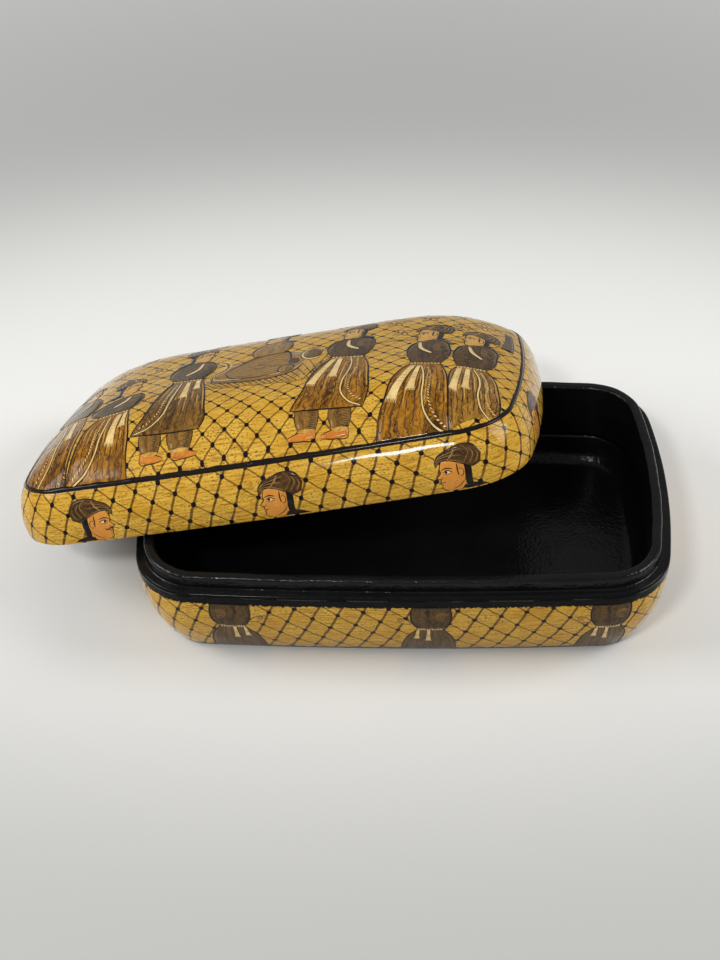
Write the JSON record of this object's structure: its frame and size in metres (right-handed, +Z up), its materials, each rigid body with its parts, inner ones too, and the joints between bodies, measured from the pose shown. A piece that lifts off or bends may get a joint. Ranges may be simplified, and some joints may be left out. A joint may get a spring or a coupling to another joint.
{
  "type": "lidded box",
  "caption": "Oblong papier mache box with a glued inner collar and a domed lift-off lid set down askew on it.",
  "frame": {"origin": "middle of the base's flat underside", "axes": "+Z up, +X along the length of the base towards its right end in the front view, -Y towards the front"},
  "size_m": [0.2458, 0.1466, 0.0896],
  "materials": {
    "painted_base": "papier mache painted golden ochre with figures and a trellis, black inside and on the rim, gloss varnish",
    "black_lacquer": "papier mache strip, gloss black lacquer with a slightly uneven brushed surface",
    "painted_lid": "papier mache painted golden ochre with figures and a trellis, black inside, gloss varnish"
  },
  "bodies": {
    "base": {"base_shell": "painted_base", "inner_collar": "black_lacquer"},
    "lid": {"lid_shell": "painted_lid"}
  },
  "joints": [
    {"name": "lid_lift", "type": "slide", "parent": "base", "child": "lid", "axis": [0, 0, 1], "range_m": [0, 0.08]}
  ]
}
